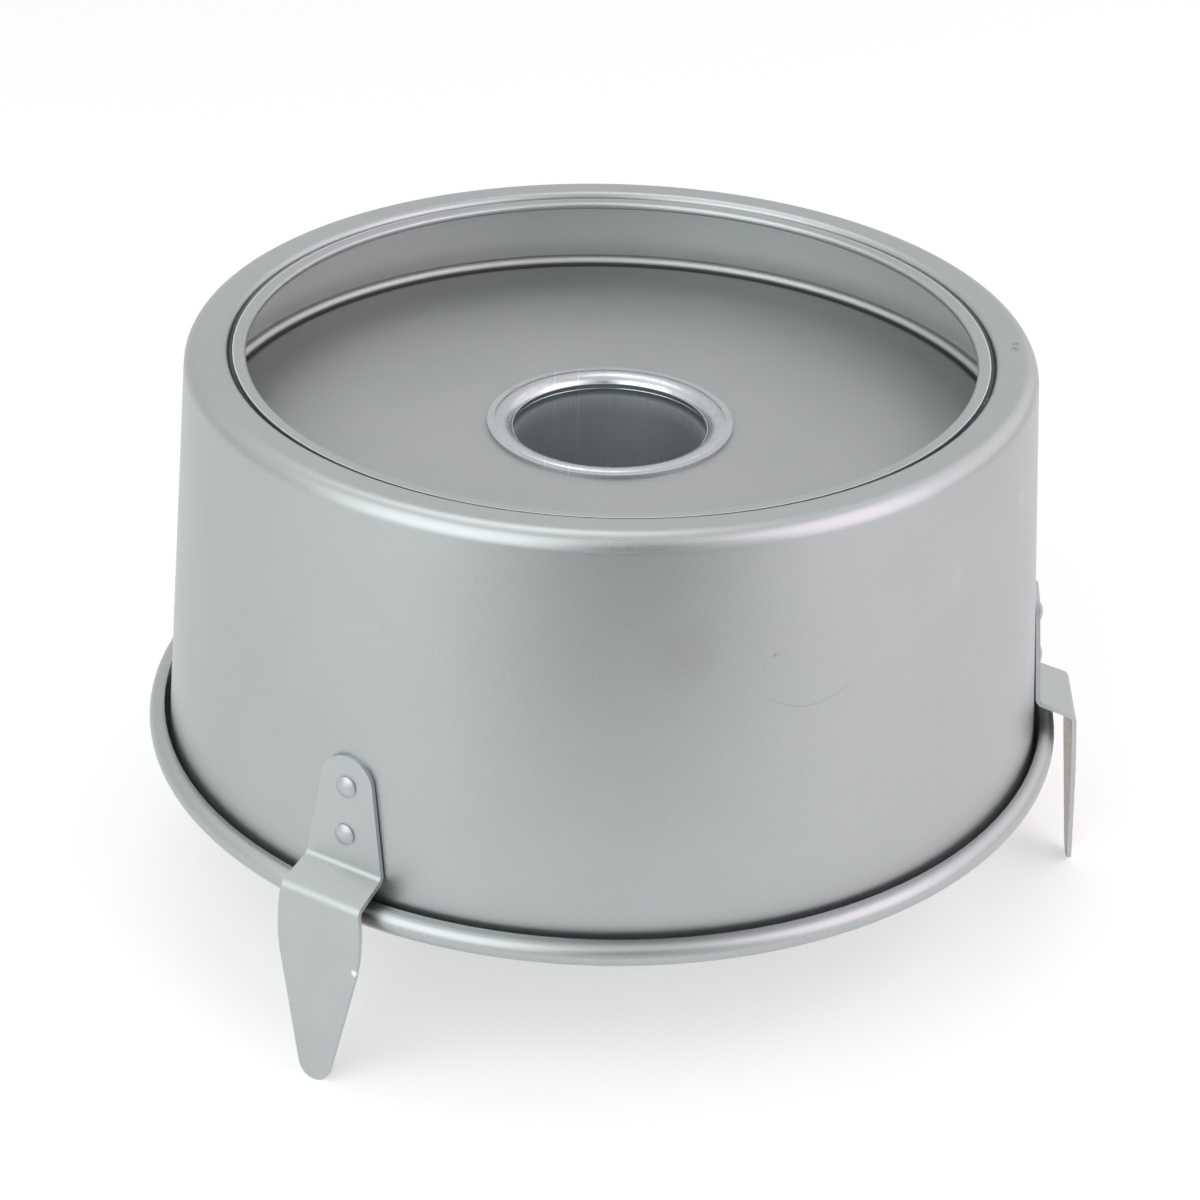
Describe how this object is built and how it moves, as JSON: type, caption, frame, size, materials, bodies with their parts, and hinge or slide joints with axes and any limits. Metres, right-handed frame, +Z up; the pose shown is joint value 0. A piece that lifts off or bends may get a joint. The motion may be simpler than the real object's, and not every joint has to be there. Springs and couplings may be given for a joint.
{
  "type": "angel food cake pan",
  "caption": "Round tapered cake pan with a loose tubed base, hemmed base hole, rolled rim and riveted sheet feet, standing inverted on its feet.",
  "frame": {"origin": "on the pan's axis at the table: the centre of the tube's lower end, level with the tips of the feet", "axes": "+Z up along the pan's axis, out of the flat ring of the base; the right foot stands close to the +X side and the front foot to the front left, towards -Y"},
  "size_m": [0.2511, 0.242, 0.1508],
  "materials": {
    "pan_sheet": "satin anodised sheet",
    "disc_sheet": "satin anodised sheet",
    "bare_tube": "drawn bare aluminium with fine lengthwise lines",
    "foot_sheet": "matt anodised sheet",
    "rivet": "satin, headed"
  },
  "bodies": {
    "pan": {"outer_pan": "pan_sheet", "foot_front": "foot_sheet", "foot_right": "foot_sheet", "foot_rear": "foot_sheet", "rivet_front_upper": "rivet", "rivet_front_lower": "rivet", "rivet_right_upper": "rivet", "rivet_right_lower": "rivet", "rivet_rear_upper": "rivet", "rivet_rear_lower": "rivet"},
    "loose_base": {"base_disc": "disc_sheet", "centre_tube": "bare_tube"}
  },
  "joints": [
    {"name": "base_slide", "type": "slide", "parent": "pan", "child": "loose_base", "axis": [0, 0, 1], "range_m": [-0.092, 0.0201]}
  ]
}
